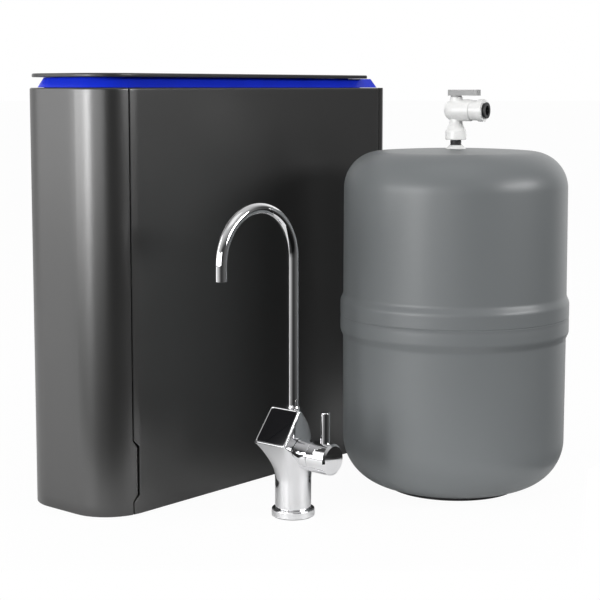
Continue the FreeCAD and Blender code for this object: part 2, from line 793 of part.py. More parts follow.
def port_bore(i):
    """Feed and drain take quarter-inch tube, tank and faucet three-eighths."""
    return d.quarter_inch if i < 2 else d.three_eighths


def rear_ports():
    """Bulkhead push-in fittings: body, nut and release collet for each of the four lines."""
    bodies, nuts = [], []
    face = half_depth
    for i, (kind, x) in enumerate(zip(PORTS, port_places())):
        bore = port_bore(i)
        at = (x, face - 20.0, d.port_height)
        barrel = cylinder(f"{kind}_barrel", 7.0, 31.0, at, "Y")
        head = cylinder(f"{kind}_head", d.port_radius, 12.0, (x, face, d.port_height), "Y")
        mouth = cylinder(f"{kind}_mouth", bore + 2.0, 10.0, (x, face + 4.5, d.port_height), "Y")
        channel = cylinder(f"{kind}_channel", bore, 40.0, (x, face - 3.0, d.port_height), "Y")
        tail_at = (x, face - 21.0, d.port_height)
        tail = cylinder(f"{kind}_tail_bore", d.rear_tube_radius + 0.1, 14.0, tail_at, "Y")
        waterway = cylinder(f"{kind}_waterway", 2.0, 20.0, (x, face - 12.0, d.port_height), "Y")
        form = fuse(f"{kind}_fitting_form", barrel, head)
        bodies.append(cut(f"{kind}_fitting", form, mouth, channel, tail, waterway))
        nut_form = bind(new("Part::Prism", f"{kind}_nut_form"), Circumradius=11.0, Height=5.0)
        nut_form.Polygon = 6
        place(nut_form, (x, face - d.wall - 5.0, d.port_height), TURNS["Y"])
        nut_bore = cylinder(f"{kind}_nut_bore", 7.0, 8.0, (x, face - d.wall - 6.0, d.port_height), "Y")
        nuts.append(cut(f"{kind}_nut", nut_form, nut_bore))
        collet = turned(
            f"{kind}_collet",
            [
                (bore, 0.0),
                (bore + 1.93, 0.0),
                (bore + 1.93, 6.4),
                (bore + 3.4, 6.4),
                (bore + 3.4, 8.2),
                (bore, 8.2),
            ],
            at=(x, face + 7.2, d.port_height),
            turn=TURNS["Y"],
        )
        collet.Label = f"{kind}_port_collet"
    group("port_fittings", *bodies)
    group("port_nuts", *nuts)


def rear_tubes():
    lines = []
    for i, (kind, x) in enumerate(zip(PORTS, port_places())):
        x, r = number(x), number(d.rear_tube_radius)
        start = number(d.manifold_back) - 10.0
        end = number(half_depth) - 8.5
        line = number(d.manifold_back) + 8.6
        level = number(d.port_height)
        middle = [(x, start, REAR_PORT_Z), (x, line, REAR_PORT_Z), (x, line, level), (x, end, level)]
        lines.append(shape(f"{kind}_tube", tube_along(middle, r, 8.4, r - 1.05)))
    group("rear_tubes", *lines)


# ---------------------------------------------------------------- tank

tank_at = (d.tank_at_x, d.tank_at_y, 0.0)
VALVE_TURN = Rotation(Vector(0, 0, 1), number(d.valve_turn))


def tank_shells():
    r, band, t = d.tank_radius, d.tank_band_radius, d.tank_wall
    weld, corner = d.tank_weld, d.tank_shoulder
    top = d.tank_shoulder_top
    turned(
        "tank_upper_shell",
        [
            (band, weld + 0.3),
            (band, d.tank_band_high),
            (r, d.tank_band_high + 2.6),
            (r - 0.6, top - corner),
            (r - 0.6 - corner, top),
            (5.65, d.tank_crown),
            (5.65, d.tank_crown - t),
            (r - 0.6 - corner, top - t),
            (r - 0.6 - t, top - corner),
            (r - t, weld + 0.3),
        ],
        {3: corner, 7: -(corner - t)},
        tank_at,
    )
    low = d.tank_corner + 4.0
    foot_r = r - 0.4
    flat = foot_r - d.tank_corner
    turned(
        "tank_lower_shell",
        [
            (4.0, 20.0),
            (36.0, 20.0),
            (48.0, 4.0),
            (flat, 4.0),
            (foot_r, low),
            (r, d.tank_band_low - 2.6),
            (band, d.tank_band_low),
            (band, weld - 0.3),
            (r + 0.6, weld - 0.3),
            (r + 0.6, weld + 0.3),
            (r - t, weld + 0.3),
            (foot_r - t, low),
            (flat, 4.0 + t),
            (50.0, 4.0 + t),
            (38.0, 20.0 + t),
            (4.0, 20.0 + t),
        ],
        {3: d.tank_corner, 11: -(d.tank_corner - t)},
        tank_at,
    )
    foot = d.tank_foot_radius
    ring = [(50.5, 0.0), (foot, 0.0), (foot + 0.8, 3.0), (62.0, 4.0), (50.5, 4.0)]
    turned("tank_foot", ring, at=tank_at)
    inside = r - t - 0.5
    turned(
        "tank_diaphragm",
        [
            (0.0, 78.0),
            (60.0, 84.0),
            (inside - 8.0, 130.0),
            (inside - 4.0, 166.0),
            (inside, 166.0),
            (inside, 172.0),
            (inside - 6.4, 172.0),
            (inside - 10.4, 131.0),
            (59.0, 86.2),
            (0.0, 80.2),
        ],
        at=tank_at,
    )
    turned(
        "air_valve",
        [
            (0.0, 2.0),
            (5.6, 2.0),
            (5.6, 14.0),
            (4.0, 16.0),
            (4.0, 32.0),
            (1.4, 32.0),
            (1.4, 18.0),
            (0.0, 18.0),
        ],
        at=tank_at,
    )
    turned("tank_flange", [(5.65, 346.4), (10.2, 346.4), (6.6, 350.0), (5.65, 350.0)], at=tank_at)
    nipple = cylinder("nipple_rod", 5.65, 29.0, (d.tank_at_x, d.tank_at_y, 334.0))
    nipple_bore = cylinder("nipple_bore", 3.0, 31.0, (d.tank_at_x, d.tank_at_y, 333.0))
    threads = []
    for i in range(3):
        high = 351.2 + 1.5 * i
        groove = cylinder(f"nipple_cut_{i}", 9.0, 0.7, (d.tank_at_x, d.tank_at_y, high))
        root = cylinder(f"nipple_root_{i}", 5.2, 1.1, (d.tank_at_x, d.tank_at_y, high - 0.2))
        threads.append(cut(f"nipple_groove_{i}", groove, root))
    cut("tank_nipple", nipple, nipple_bore, *threads)


def tank_valve():
    """A quarter-turn ball valve in its own frame: X is the way its outlet points."""
    middle, barrel = d.valve_axis_height, d.valve_barrel_radius
    neck = turned(
        "valve_neck",
        [
            (0.0, 355.4),
            (10.0, 355.4),
            (10.6, 356.4),
            (10.6, 364.2),
            (6.5, 373.0),
            (6.5, 379.0),
            (0.0, 379.0),
        ],
        {3: -26.0},
    )
    tube = cylinder("valve_tube", barrel, 18.0, (-1.6, 0.0, middle), "X")
    bulb = sphere("valve_bulb", barrel, (-1.6, 0.0, middle))
    step = cone("valve_step", barrel, barrel - 0.8, 1.0, (16.4, 0.0, middle), "X")
    sleeve = cylinder("valve_sleeve", barrel - 0.8, 10.0, (16.4, 0.0, middle), "X")
    mouth_ring = cylinder("valve_mouth_ring", barrel + 0.3, 5.4, (25.2, 0.0, middle), "X")
    boss = cylinder("valve_boss", 6.4, 12.0, (0.0, 0.0, middle + 1.0))
    solid = fuse("valve_solid", neck, tube, bulb, step, sleeve, mouth_ring, boss)
    cavity = cylinder("valve_cavity", d.valve_ball_radius + 0.6, 22.4, (-7.4, 0.0, middle), "X")
    inlet = cylinder("valve_inlet", 3.4, 20.0, (0.0, 0.0, 362.0))
    thread = cylinder("valve_thread", 5.65, 9.0, (0.0, 0.0, 354.4))
    tube_bore = cylinder("valve_bore", d.three_eighths, 40.0, (15.0, 0.0, middle), "X")
    mouth = cylinder("valve_mouth", d.three_eighths + 2.0, 10.0, (22.0, 0.0, middle), "X")
    stem_bore = cylinder("valve_stem_bore", 2.26, 20.0, (0.0, 0.0, middle + 4.0))
    throat = cylinder("valve_throat", 3.4, 10.0, (9.0, 0.0, middle), "X")
    body = cut("valve_body", solid, cavity, inlet, thread, tube_bore, mouth, stem_bore, throat)
    seat_form = cylinder("seat_form", d.valve_ball_radius + 0.6, 8.0, (5.0, 0.0, middle), "X")
    back_form = cylinder("seat_back_form", d.valve_ball_radius + 0.6, 2.4, (-7.4, 0.0, middle), "X")
    seat_bore = cylinder("seat_bore", 3.4, 14.0, (3.0, 0.0, middle), "X")
    seat_round = sphere("seat_round", d.valve_ball_radius + 0.06, (0.0, 0.0, middle))
    seats = cut("valve_seats", fuse("seats_form", seat_form, back_form), seat_bore, seat_round)
    ball = sphere("ball_form", d.valve_ball_radius, (0.0, 0.0, middle))
    stem = cylinder("stem_form", 2.2, 15.0, (0.0, 0.0, middle + 5.0))
    waterway = cylinder("ball_waterway", 3.2, 12.0, (-2.0, 0.0, middle), "X")
    drop = cylinder("ball_drop", 3.2, 12.0, (0.0, 0.0, middle - 10.0))
    core = cut("valve_ball", fuse("ball_and_stem", ball, stem), waterway, drop)
    lever_low, lever_high = middle + 14.7, middle + 20.6
    bar = box("lever_bar", (-7.8, -4.6, lever_low), (25.0, 4.6, lever_high))
    bar_soft = fillet("lever_soft", bar, 1.6, lambda e: abs(e.Vertexes[0].Z - e.Vertexes[-1].Z) > 3)
    hub = cylinder("lever_hub", 5.6, 2.0, (0.0, 0.0, middle + 13.2))
    socket = cylinder("lever_socket", 2.2, 8.0, (0.0, 0.0, middle + 12.0))
    lever = cut("valve_handle", fuse("lever_form", bar_soft, hub), socket)
    collet = turned(
        "valve_collet",
        [
            (d.three_eighths, 25.2),
            (d.three_eighths + 1.93, 25.2),
            (d.three_eighths + 1.93, 32.4),
            (d.three_eighths + 3.2, 32.4),
            (d.three_eighths + 3.2, 33.8),
            (d.three_eighths, 33.8),
        ],
    )
    for thing in (body, seats, core, lever):
        place(thing, tank_at, VALVE_TURN)
    place(collet, (d.tank_at_x, d.tank_at_y, middle), VALVE_TURN * TURNS["X"])


# ---------------------------------------------------------------- faucet


def faucet_at(x=0.0, y=0.0, z=0.0):
    return (d.faucet_at_x + x, d.faucet_at_y + y, z)


DISPLAY_LOW = Vector(0, -34.6, 74.0)
DISPLAY_HIGH = Vector(0, -11.0, 106.0)


def faucet_head():
    """The column, swelling forward into the head that carries the display."""
    r = number(d.faucet_radius)
    low, swell, brow, top = number(d.faucet_ring_high), 36.0, 74.0, 110.0
    half = 19.0
    front_curve = Part.Arc(Vector(0, -r, swell), Vector(0, -r - 6.2, 57.5), DISPLAY_LOW).toShape()
    back_curve = Part.Arc(DISPLAY_HIGH, Vector(0, 8.6, 95.4), Vector(0, r, 72.0)).toShape()
    outline = [
        front_curve,
        Part.makeLine(DISPLAY_LOW, DISPLAY_HIGH),
        back_curve,
        Part.makeLine(Vector(0, r, 72.0), Vector(0, r + 9.0, 72.0)),
        Part.makeLine(Vector(0, r + 9.0, 72.0), Vector(0, r + 9.0, swell)),
        Part.makeLine(Vector(0, r + 9.0, swell), Vector(0, -r, swell)),
    ]
    side = Part.Face(Part.Wire(outline))
    side.translate(Vector(-30, 0, 0))
    side = side.extrude(Vector(60, 0, 0))
    round_back = Part.Arc(Vector(-r, 0, swell), Vector(0, r, swell), Vector(r, 0, swell)).toShape()
    spread = [(r, 0), (half, -36.0), (-half, -36.0), (-r, 0)]
    corners = [Vector(x, y, swell) for x, y in spread]
    lines = [Part.makeLine(a, b) for a, b in zip(corners, corners[1:])]
    level = Part.Face(Part.Wire([round_back] + lines)).extrude(Vector(0, 0, top - swell))
    upright = [
        e for e in level.Edges if e.Vertexes[0].Y < -30 and abs(e.Vertexes[0].Z - e.Vertexes[-1].Z) > 20
    ]
    level = level.makeFillet(4.0, upright)
    flare = Part.makeCone(r - 0.4, 45.0, brow - swell, Vector(0, 0, swell))
    flare = flare.fuse(Part.makeCylinder(45.0, top - brow, Vector(0, 0, brow)))
    head = side.common(level).common(flare)
    column = Part.makeCylinder(r, 46.0 - low, Vector(0, 0, low))
    return head.fuse(column).removeSplitter().Solids[0]


def display_frame():
    """The glass's outline in the display's own plane: X across, Y up the slope."""
    return (DISPLAY_HIGH - DISPLAY_LOW).normalize()


def faucet_parts():
    r = number(d.faucet_radius)
    slope = display_frame()
    outward = Vector(0, -slope.z, slope.y)
    middle = (DISPLAY_LOW + DISPLAY_HIGH) / 2
    tilt = Rotation(Vector(1, 0, 0), slope, outward)
    length = (DISPLAY_HIGH - DISPLAY_LOW).Length

    def panel(width_low, width_high, tall, deep, out, corner):
        """A trapezium with rounded corners, standing out from the display's plane."""
        w0, w1, h = width_low / 2, width_high / 2, tall / 2
        flat = [(-w0, -h), (w0, -h), (w1, h), (-w1, h), (-w0, -h)]
        wire = Part.makePolygon([middle + tilt.multVec(Vector(x, y, out - deep)) for x, y in flat])
        solid = Part.Face(wire).extrude(outward * deep)
        spans = [(e, e.Vertexes[0].Point - e.Vertexes[-1].Point) for e in solid.Edges]
        through = [e for e, run in spans if abs(run.dot(outward)) > deep / 2]
        return solid.makeFillet(corner, through)

    recess = shape("display_recess", panel(34.6, 31.6, length - 4.4, 7.0, 1.0, 3.0), faucet_at())
    glass = shape("display_glass", panel(34.2, 31.2, length - 4.8, 2.2, 0.15, 2.8), faucet_at())
    board = shape("display_board", panel(30.0, 27.0, length - 9.0, 1.6, -2.3, 1.0), faucet_at())
    head = shape("faucet_head", faucet_head(), faucet_at())
    height = d.faucet_lever_height
    boss_at = faucet_at(6.0, 0.5, height)
    boss = cylinder("lever_boss", d.faucet_boss_radius, d.faucet_boss_end - 6.0, boss_at, "X")
    chamber = cylinder("lever_chamber", 9.4, d.faucet_boss_end, faucet_at(3.0, 0.5, height), "X")
    spout_bore = cylinder("spout_bore", d.spout_radius + 0.06, 40.0, faucet_at(0.0, 0.0, d.spout_seat - 0.4))
    ferrule_seat = cylinder("ferrule_seat", 6.6, 20.0, faucet_at(0.0, 0.0, 98.0))
    riser = cylinder("riser", 2.6, 16.0, faucet_at(0.0, 0.0, 66.0))
    shank = cylinder("shank_bore", 5.0, 34.0, faucet_at(0.0, 0.0, -1.0))
    feed = cylinder("feed_bore", 2.6, 32.0, faucet_at(0.0, 0.0, 32.0))
    form = fuse("faucet_form", head, boss)
    body = cut("faucet_body", form, recess, chamber, spout_bore, ferrule_seat, riser, shank, feed)
    ring = [
        (r + 0.0, d.faucet_ring_low),
        (d.faucet_ring_radius, d.faucet_ring_low),
        (d.faucet_ring_radius, d.faucet_ring_high - 1.4),
        (d.faucet_ring_radius - 1.4, d.faucet_ring_high),
        (6.0, d.faucet_ring_high),
        (6.0, d.faucet_ring_low),
    ]
    turned("faucet_base_ring", ring[1:], {1: 1.4}, faucet_at())
    gasket = [(6.0, 0.0), (19.6, 0.0), (19.6, d.faucet_ring_low), (6.0, d.faucet_ring_low)]
    turned("faucet_gasket", gasket, at=faucet_at())
    cartridge_form = cylinder("ceramic_form", 9.4, 23.6, faucet_at(3.0, 0.5, height), "X")
    stem_bore = cylinder("ceramic_stem_bore", 4.06, 20.0, faucet_at(9.0, 0.5, height), "X")
    ways = [
        cylinder(f"ceramic_way_{i}", 1.6, 8.0, faucet_at(2.0, y, height), "X")
        for i, y in enumerate((-4.0, 5.0))
    ]
    cut("faucet_cartridge", cartridge_form, stem_bore, *ways)
    turned(
        "spout_ferrule",
        [(5.31, 98.0), (6.6, 98.0), (6.6, 105.0), (6.1, 106.2), (5.31, 106.2)],
        at=faucet_at(),
    )
    knob_from = d.faucet_boss_end + 0.5
    knob = turned(
        "knob_form",
        [
            (0.0, 0.0),
            (d.faucet_knob_radius - 0.4, 0.0),
            (d.faucet_knob_radius, 0.4),
            (d.faucet_knob_radius, 20.5),
            (d.faucet_knob_radius - 2.0, 22.5),
            (0.0, 22.5),
        ],
        at=faucet_at(knob_from, 0.5, height),
        turn=TURNS["X"],
    )
    stem = cylinder("knob_stem", 4.0, 20.0, faucet_at(9.4, 0.5, height), "X")
    pin_at = faucet_at(d.faucet_pin_at, 0.5, height + 4.0)
    pin_seat = cylinder("pin_seat", d.faucet_pin_radius, 60.0, pin_at)
    cut("faucet_handle", fuse("knob_and_stem", knob, stem), pin_seat)
    pin = cylinder("pin_form", d.faucet_pin_radius, d.faucet_pin_top - height - 4.0, pin_at)
    top = number(d.faucet_pin_top)
    soft = fillet("lever_pin", pin, 1.0, lambda e: e.Vertexes[0].Z > top - 0.1 and len(e.Vertexes) == 1)
    bend = number(d.spout_reach) / 2
    rise = number(d.spout_top) - bend
    tip = number(d.spout_tip)
    reach = number(d.spout_reach)
    start, crown = Vector(0, 0, number(d.spout_seat)), Vector(0, -bend, rise + bend)
    end = Vector(0, -reach, rise)
    path = Part.Wire(
        [
            Part.makeLine(start, Vector(0, 0, rise)),
            Part.Arc(Vector(0, 0, rise), crown, end).toShape(),
            Part.makeLine(end, Vector(0, -reach, tip)),
        ]
    )

    def swept(radius):
        return path.makePipeShell([Part.Wire(Part.makeCircle(radius, start, Vector(0, 0, 1)))], True, False)

    radius = number(d.spout_radius)
    spout = swept(radius).cut(swept(radius - number(d.spout_wall)))
    shape("spout_tube", spout, faucet_at())


# ---------------------------------------------------------------- build

shells()
base_parts()
collar_and_lid()
inner_frame()
manifold()
media = elements()
for kind, y in zip(CARTRIDGES, cartridge_places()):
    cartridge(kind, y, media[kind])
devices()
rear_ports()
rear_tubes()
tank_shells()
tank_valve()
faucet_parts()
doc.recompute()

SUB_PARTS = {
    "cabinet": [
        "base_tray",
        "rubber_feet",
        "side_panel_left",
        "side_panel_right",
        "rear_panel",
        "top_collar",
        "hinge_pins",
        "deck_plate",
        "front_bulkhead",
        "manifold",
        "shutoff_valve",
        "flow_sensor",
        "front_loop_tubes",
        "controller_case",
        "controller_cover",
        "controller_board",
        "port_fittings",
        "port_nuts",
        "rear_tubes",
    ],
    "cabinet_moving": ["front_cover", "lid"]
    + [f"{kind}_{piece}" for kind in CARTRIDGES for piece in ("cartridge", "element", "seals")]
    + [f"{kind}_port_collet" for kind in PORTS],
    "tank": [
        "tank_upper_shell",
        "tank_lower_shell",
        "tank_foot",
        "tank_diaphragm",
        "tank_flange",
        "tank_nipple",
        "air_valve",
        "valve_body",
        "valve_seats",
        "valve_ball",
        "valve_handle",
        "valve_collet",
    ],
    "faucet": [
        "faucet_body",
        "faucet_base_ring",
        "faucet_gasket",
        "display_glass",
        "display_board",
        "faucet_cartridge",
        "spout_ferrule",
        "faucet_handle",
        "lever_pin",
        "spout_tube",
    ],
}

faults = [thing.Name for thing in doc.Objects if {"Invalid", "Error"} & set(thing.State)]
if faults:
    raise RuntimeError(f"objects in error: {faults}")
parts = {thing.Label: thing for thing in doc.Objects}
os.makedirs("parts", exist_ok=True)
for names in SUB_PARTS.values():
    for name in names:
        solid = parts[name].Shape
        if solid.isNull() or not solid.isValid() or solid.Volume <= 0:
            raise RuntimeError(f"{name} is not a sound solid")
        solid.exportStep(f"parts/{name}.step")
        low_high = solid.BoundBox
        span = (low_high.XMin, low_high.XMax, low_high.YMin, low_high.YMax, low_high.ZMin, low_high.ZMax)
        print(name, len(solid.Solids), round(solid.Volume), [round(v, 1) for v in span])
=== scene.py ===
"""Under-sink reverse osmosis unit: cabinet, storage tank and faucet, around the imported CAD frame."""

import json
import math

import bmesh
import bpy
from mathutils import Matrix, Vector


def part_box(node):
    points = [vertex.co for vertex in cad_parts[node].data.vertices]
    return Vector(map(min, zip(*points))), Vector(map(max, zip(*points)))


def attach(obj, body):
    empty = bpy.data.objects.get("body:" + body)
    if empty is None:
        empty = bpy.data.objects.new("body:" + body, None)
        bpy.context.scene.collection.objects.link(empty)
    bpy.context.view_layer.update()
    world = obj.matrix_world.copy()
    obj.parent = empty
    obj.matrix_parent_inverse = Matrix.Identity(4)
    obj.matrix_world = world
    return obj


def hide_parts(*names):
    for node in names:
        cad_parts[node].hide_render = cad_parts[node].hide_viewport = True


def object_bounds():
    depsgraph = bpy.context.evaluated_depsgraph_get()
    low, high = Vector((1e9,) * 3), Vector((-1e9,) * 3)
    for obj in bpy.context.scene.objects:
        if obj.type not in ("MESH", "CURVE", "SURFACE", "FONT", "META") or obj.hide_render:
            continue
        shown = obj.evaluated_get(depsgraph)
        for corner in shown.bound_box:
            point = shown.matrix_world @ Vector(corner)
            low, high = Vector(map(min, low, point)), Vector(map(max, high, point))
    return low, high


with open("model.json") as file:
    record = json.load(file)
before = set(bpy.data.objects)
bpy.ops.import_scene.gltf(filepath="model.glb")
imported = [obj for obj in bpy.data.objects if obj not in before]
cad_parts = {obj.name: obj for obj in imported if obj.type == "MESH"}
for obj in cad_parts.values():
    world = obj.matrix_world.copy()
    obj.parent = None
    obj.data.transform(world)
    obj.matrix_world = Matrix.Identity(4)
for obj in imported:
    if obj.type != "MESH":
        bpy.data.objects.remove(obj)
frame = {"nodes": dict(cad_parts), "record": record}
cad_low, cad_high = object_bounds()
nodes = frame["nodes"]
MM = 0.001

# ---------------------------------------------------------------- camera, floor and light

CAMERA_AT = (1.0995, -1.1398, 0.4069)
CAMERA_AZIMUTH = 40.66
CAMERA_PITCH = 6.2
SENSOR = 36.0
IMAGE_SIDE = 600
FOCAL_PIXELS = 1506.3
SHIFT_Y = -0.08

camera_data = bpy.data.cameras.new("camera")
camera = bpy.data.objects.new("camera", camera_data)
bpy.context.scene.collection.objects.link(camera)
camera_data.sensor_width = SENSOR
camera_data.lens = FOCAL_PIXELS / IMAGE_SIDE * SENSOR
camera_data.shift_y = SHIFT_Y
camera_data.clip_start = 0.01
camera_data.clip_end = 50.0
camera.location = CAMERA_AT
camera.rotation_euler = (math.radians(90.0 - CAMERA_PITCH), 0.0, math.radians(CAMERA_AZIMUTH))
bpy.context.scene.camera = camera
bpy.context.scene.view_settings.view_transform = "Standard"


LIGHTS_AIM = Vector((0.08, 0.0, 0.22))
# name, azimuth and elevation in degrees, distance, width and height in metres, radiance
LIGHTS = (
    ("soft_box_front_left", -140, 16, 2.2, 1.1, 1.5, 1.2),
    ("key_wide", -112, 7, 2.4, 1.2, 0.75, 6.0),
    ("key_core", -89, 7, 2.4, 0.6, 0.75, 15.0),
    ("key_side", -63, 7, 2.4, 1.2, 0.75, 3.0),
    ("overhead", -60, 75, 2.2, 1.6, 1.2, 0.4),
    ("fill_right", 15, 18, 2.4, 1.5, 0.5, 13.0),
)


def area_light(name, azimuth, elevation, distance, width, height, radiance):
    """A soft box at a bearing round the object: azimuth 0 is towards +X and 90 towards +Y."""
    data = bpy.data.lights.new(name, "AREA")
    data.shape = "RECTANGLE"
    data.size, data.size_y = width, height
    data.energy = radiance * math.pi * width * height
    light = bpy.data.objects.new(name, data)
    bpy.context.scene.collection.objects.link(light)
    a, e = math.radians(azimuth), math.radians(elevation)
    out = Vector((math.cos(a) * math.cos(e), math.sin(a) * math.cos(e), math.sin(e)))
    light.location = LIGHTS_AIM + out * distance
    light.rotation_mode = "QUATERNION"
    light.rotation_quaternion = (-out).to_track_quat("-Z", "Y")


for light_row in LIGHTS:
    area_light(*light_row)


# the studio walls' brightness at bearings in degrees, 0 towards +X and 90 towards +Y
WALLS = (
    (-180, 0.7), (-110, 0.6), (-72, 0.2), (-55, 0.04),
    (-22, 0.05), (20, 0.12), (42, 0.16), (50, 0.05),
    (62, 0.10), (84, 1.2), (180, 0.7),
)
# heights of the view's direction between which the walls fade into the ceiling and the ground
CEILING_FROM, CEILING_TO, CEILING_LEVEL = 0.35, 0.9, 0.6
GROUND_FROM, GROUND_TO, GROUND_LEVEL = -0.3, -0.13, 0.12


def make_world():
    """Dim studio walls, brighter to the left and overhead; the camera itself sees white."""
    world = bpy.data.worlds.new("studio")
    bpy.context.scene.world = world
    world.use_nodes = True
    tree = world.node_tree
    tree.nodes.clear()
    add, link = tree.nodes.new, tree.links.new
    where = add("ShaderNodeTexCoord")
    parts = add("ShaderNodeSeparateXYZ")
    link(where.outputs["Generated"], parts.inputs[0])
    bearing = add("ShaderNodeMath")
    bearing.operation = "ARCTAN2"
    link(parts.outputs["Y"], bearing.inputs[0])
    link(parts.outputs["X"], bearing.inputs[1])
    turn = add("ShaderNodeMapRange")
    turn.inputs["From Min"].default_value = -math.pi
    turn.inputs["From Max"].default_value = math.pi
    link(bearing.outputs[0], turn.inputs["Value"])
    walls = add("ShaderNodeValToRGB")
    ramp = walls.color_ramp
    while len(ramp.elements) < len(WALLS):
        ramp.elements.new(0.5)
    for element, (degrees, level) in zip(ramp.elements, WALLS):
        element.position = (degrees + 180) / 360
        element.color = (level, level, level, 1)
    link(turn.outputs[0], walls.inputs[0])
    rise = add("ShaderNodeMapRange")
    rise.inputs["From Min"].default_value = CEILING_FROM
    rise.inputs["From Max"].default_value = CEILING_TO
    link(parts.outputs["Z"], rise.inputs["Value"])
    sky = add("ShaderNodeMix")
    sky.data_type = "RGBA"
    link(rise.outputs[0], sky.inputs["Factor"])
    link(walls.outputs["Color"], sky.inputs["A"])
    sky.inputs["B"].default_value = (CEILING_LEVEL, CEILING_LEVEL, CEILING_LEVEL, 1)
    above = add("ShaderNodeMapRange")
    above.inputs["From Min"].default_value = GROUND_FROM
    above.inputs["From Max"].default_value = GROUND_TO
    above.inputs["To Min"].default_value = GROUND_LEVEL
    link(parts.outputs["Z"], above.inputs["Value"])
    lit = add("ShaderNodeBackground")
    link(sky.outputs["Result"], lit.inputs["Color"])
    link(above.outputs[0], lit.inputs["Strength"])
    plain = add("ShaderNodeBackground")
    plain.inputs["Color"].default_value = (1, 1, 1, 1)
    rays = add("ShaderNodeLightPath")
    choose = add("ShaderNodeMixShader")
    link(rays.outputs["Is Camera Ray"], choose.inputs[0])
    link(lit.outputs[0], choose.inputs[1])
    link(plain.outputs[0], choose.inputs[2])
    out = add("ShaderNodeOutputWorld")
    link(choose.outputs[0], out.inputs["Surface"])


make_world()

# ---------------------------------------------------------------- materials


NOISE_LOW, NOISE_HIGH = 0.3, 0.7  # where most of a noise texture's values lie


class Finish:
    """A principled material with a little procedural colour, roughness and surface variation."""

    def __init__(self, name, colour, roughness, metallic=0.0, coat=0.0, coat_roughness=0.1, ior=1.5):
        self.material = bpy.data.materials.new(name)
        self.material.use_nodes = True
        self.tree = self.material.node_tree
        self.shader = next(n for n in self.tree.nodes if n.type == "BSDF_PRINCIPLED")
        inputs = self.shader.inputs
        inputs["Base Color"].default_value = (*colour, 1)
        inputs["Roughness"].default_value = roughness
        inputs["Metallic"].default_value = metallic
        inputs["Coat Weight"].default_value = coat
        inputs["Coat Roughness"].default_value = coat_roughness
        inputs["IOR"].default_value = ior
        self.colour = colour
        self.roughness = roughness
        self.place = self.tree.nodes.new("ShaderNodeTexCoord")

    def noise(self, scale, detail):
        """Noise over the object's own coordinates, whose scale is per metre."""
        made = self.tree.nodes.new("ShaderNodeTexNoise")
        made.inputs["Scale"].default_value = scale
        made.inputs["Detail"].default_value = detail
        self.tree.links.new(self.place.outputs["Object"], made.inputs["Vector"])
        return made.outputs["Fac"]

    def spread(self, value, low, high):
        """Stretches the middle of a noise value's range to run from low to high."""
        made = self.tree.nodes.new("ShaderNodeMapRange")
        made.inputs["From Min"].default_value = NOISE_LOW
        made.inputs["From Max"].default_value = NOISE_HIGH
        made.inputs["To Min"].default_value = low
        made.inputs["To Max"].default_value = high
        self.tree.links.new(value, made.inputs["Value"])
        return made.outputs["Result"]

    def mottle(self, scale, amount):
        """The colour drifts by amount either way."""
        mix = self.tree.nodes.new("ShaderNodeMix")
        mix.data_type = "RGBA"
        darker = tuple(c * (1 - amount) for c in self.colour)
        lighter = tuple(min(1, c * (1 + amount)) for c in self.colour)
        mix.inputs["A"].default_value = (*darker, 1)
        mix.inputs["B"].default_value = (*lighter, 1)
        self.tree.links.new(self.spread(self.noise(scale, 4.0), 0, 1), mix.inputs["Factor"])
        self.tree.links.new(mix.outputs["Result"], self.shader.inputs["Base Color"])
        return self

    def uneven(self, scale, amount):
        """The roughness drifts by amount either way."""
        low, high = self.roughness - amount, self.roughness + amount
        value = self.spread(self.noise(scale, 3.0), low, high)
        self.tree.links.new(value, self.shader.inputs["Roughness"])
        return self

    def grain(self, scale, height):
        """Fine relief of about height metres."""
        bump = self.tree.nodes.new("ShaderNodeBump")
        bump.inputs["Distance"].default_value = height
        bump.inputs["Strength"].default_value = 1.0
        self.tree.links.new(self.noise(scale, 2.0), bump.inputs["Height"])
        self.tree.links.new(bump.outputs["Normal"], self.shader.inputs["Normal"])
        return self


